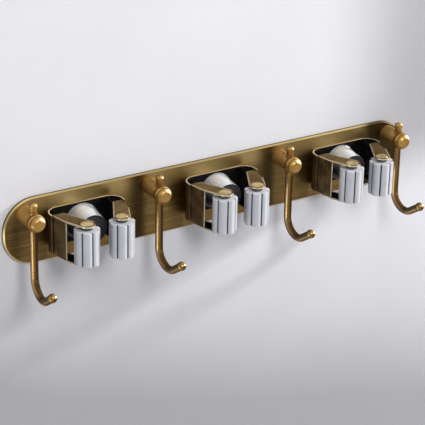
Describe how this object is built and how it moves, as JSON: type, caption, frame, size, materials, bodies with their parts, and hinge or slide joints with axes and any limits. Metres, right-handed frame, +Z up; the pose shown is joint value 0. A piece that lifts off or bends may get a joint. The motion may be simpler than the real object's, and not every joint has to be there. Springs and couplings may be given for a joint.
{
  "type": "wall mop holder rack",
  "caption": "Long brass wall plate with sprung roller grips that pinch mop handles and bent-rod coat hooks between them.",
  "frame": {"origin": "centre of the plate's back face, which lies on the wall", "axes": "+X along the plate to the viewer's right, +Y into the wall, +Z up"},
  "size_m": [0.4, 0.0599, 0.083],
  "materials": {
    "plate_brass": "brushed antique brass",
    "hook_brass": "polished antique brass",
    "grip_bronze": "dark antique bronze",
    "pin_brass": "bright brass",
    "polished_chrome": "polished",
    "grey_rubber": "satin",
    "dark_rubber": "matte",
    "spring_steel": "drawn wire"
  },
  "bodies": {
    "rack": {"back_plate": "plate_brass", "hook_post_1": "hook_brass", "hook_cap_1": "hook_brass", "hook_rod_1": "hook_brass", "hook_finial_1": "hook_brass", "hook_post_2": "hook_brass", "hook_cap_2": "hook_brass", "hook_rod_2": "hook_brass", "hook_finial_2": "hook_brass", "hook_post_3": "hook_brass", "hook_cap_3": "hook_brass", "hook_rod_3": "hook_brass", "hook_finial_3": "hook_brass", "hook_post_4": "hook_brass", "hook_cap_4": "hook_brass", "hook_rod_4": "hook_brass", "hook_finial_4": "hook_brass", "hook_screws": "spring_steel", "bracket_rivets": "pin_brass", "grip_bracket_1": "grip_bronze", "stop_boss_1": "polished_chrome", "stop_pad_1": "dark_rubber", "left_hinge_pin_1": "grip_bronze", "left_spring_1": "spring_steel", "right_hinge_pin_1": "grip_bronze", "right_spring_1": "spring_steel", "grip_bracket_2": "grip_bronze", "stop_boss_2": "polished_chrome", "stop_pad_2": "dark_rubber", "left_hinge_pin_2": "grip_bronze", "left_spring_2": "spring_steel", "right_hinge_pin_2": "grip_bronze", "right_spring_2": "spring_steel", "grip_bracket_3": "grip_bronze", "stop_boss_3": "polished_chrome", "stop_pad_3": "dark_rubber", "left_hinge_pin_3": "grip_bronze", "left_spring_3": "spring_steel", "right_hinge_pin_3": "grip_bronze", "right_spring_3": "spring_steel"},
    "left_arm_body_1": {"left_arm_1": "grip_bronze", "left_roller_pin_1": "pin_brass"},
    "left_roller_body_1": {"left_roller_1": "grey_rubber"},
    "right_arm_body_1": {"right_arm_1": "grip_bronze", "right_roller_pin_1": "pin_brass"},
    "right_roller_body_1": {"right_roller_1": "grey_rubber"},
    "left_arm_body_2": {"left_arm_2": "grip_bronze", "left_roller_pin_2": "pin_brass"},
    "left_roller_body_2": {"left_roller_2": "grey_rubber"},
    "right_arm_body_2": {"right_arm_2": "grip_bronze", "right_roller_pin_2": "pin_brass"},
    "right_roller_body_2": {"right_roller_2": "grey_rubber"},
    "left_arm_body_3": {"left_arm_3": "grip_bronze", "left_roller_pin_3": "pin_brass"},
    "left_roller_body_3": {"left_roller_3": "grey_rubber"},
    "right_arm_body_3": {"right_arm_3": "grip_bronze", "right_roller_pin_3": "pin_brass"},
    "right_roller_body_3": {"right_roller_3": "grey_rubber"}
  },
  "joints": [
    {"name": "left_arm_hinge_1", "type": "hinge", "parent": "rack", "child": "left_arm_body_1", "pos_m": [-0.1563, -0.0205, 0], "axis": [0, 0, -1], "range_deg": [0, 30], "stiffness_Nm_per_rad": 0.25, "springref_deg": -28.65, "deforming": ["left_spring_1"]},
    {"name": "left_roller_spin_1", "type": "hinge", "parent": "left_arm_body_1", "child": "left_roller_body_1", "pos_m": [-0.146, -0.045, 0], "axis": [0, 0, 1], "continuous": true},
    {"name": "right_arm_hinge_1", "type": "hinge", "parent": "rack", "child": "right_arm_body_1", "pos_m": [-0.1037, -0.0205, 0], "axis": [0, 0, 1], "range_deg": [0, 30], "stiffness_Nm_per_rad": 0.25, "springref_deg": -28.65, "deforming": ["right_spring_1"]},
    {"name": "right_roller_spin_1", "type": "hinge", "parent": "right_arm_body_1", "child": "right_roller_body_1", "pos_m": [-0.114, -0.045, 0], "axis": [0, 0, 1], "continuous": true},
    {"name": "left_arm_hinge_2", "type": "hinge", "parent": "rack", "child": "left_arm_body_2", "pos_m": [-0.0263, -0.0205, 0], "axis": [0, 0, -1], "range_deg": [0, 30], "stiffness_Nm_per_rad": 0.25, "springref_deg": -28.65, "deforming": ["left_spring_2"]},
    {"name": "left_roller_spin_2", "type": "hinge", "parent": "left_arm_body_2", "child": "left_roller_body_2", "pos_m": [-0.016, -0.045, 0], "axis": [0, 0, 1], "continuous": true},
    {"name": "right_arm_hinge_2", "type": "hinge", "parent": "rack", "child": "right_arm_body_2", "pos_m": [0.0263, -0.0205, 0], "axis": [0, 0, 1], "range_deg": [0, 30], "stiffness_Nm_per_rad": 0.25, "springref_deg": -28.65, "deforming": ["right_spring_2"]},
    {"name": "right_roller_spin_2", "type": "hinge", "parent": "right_arm_body_2", "child": "right_roller_body_2", "pos_m": [0.016, -0.045, 0], "axis": [0, 0, 1], "continuous": true},
    {"name": "left_arm_hinge_3", "type": "hinge", "parent": "rack", "child": "left_arm_body_3", "pos_m": [0.1037, -0.0205, 0], "axis": [0, 0, -1], "range_deg": [0, 30], "stiffness_Nm_per_rad": 0.25, "springref_deg": -28.65, "deforming": ["left_spring_3"]},
    {"name": "left_roller_spin_3", "type": "hinge", "parent": "left_arm_body_3", "child": "left_roller_body_3", "pos_m": [0.114, -0.045, 0], "axis": [0, 0, 1], "continuous": true},
    {"name": "right_arm_hinge_3", "type": "hinge", "parent": "rack", "child": "right_arm_body_3", "pos_m": [0.1563, -0.0205, 0], "axis": [0, 0, 1], "range_deg": [0, 30], "stiffness_Nm_per_rad": 0.25, "springref_deg": -28.65, "deforming": ["right_spring_3"]},
    {"name": "right_roller_spin_3", "type": "hinge", "parent": "right_arm_body_3", "child": "right_roller_body_3", "pos_m": [0.146, -0.045, 0], "axis": [0, 0, 1], "continuous": true}
  ]
}
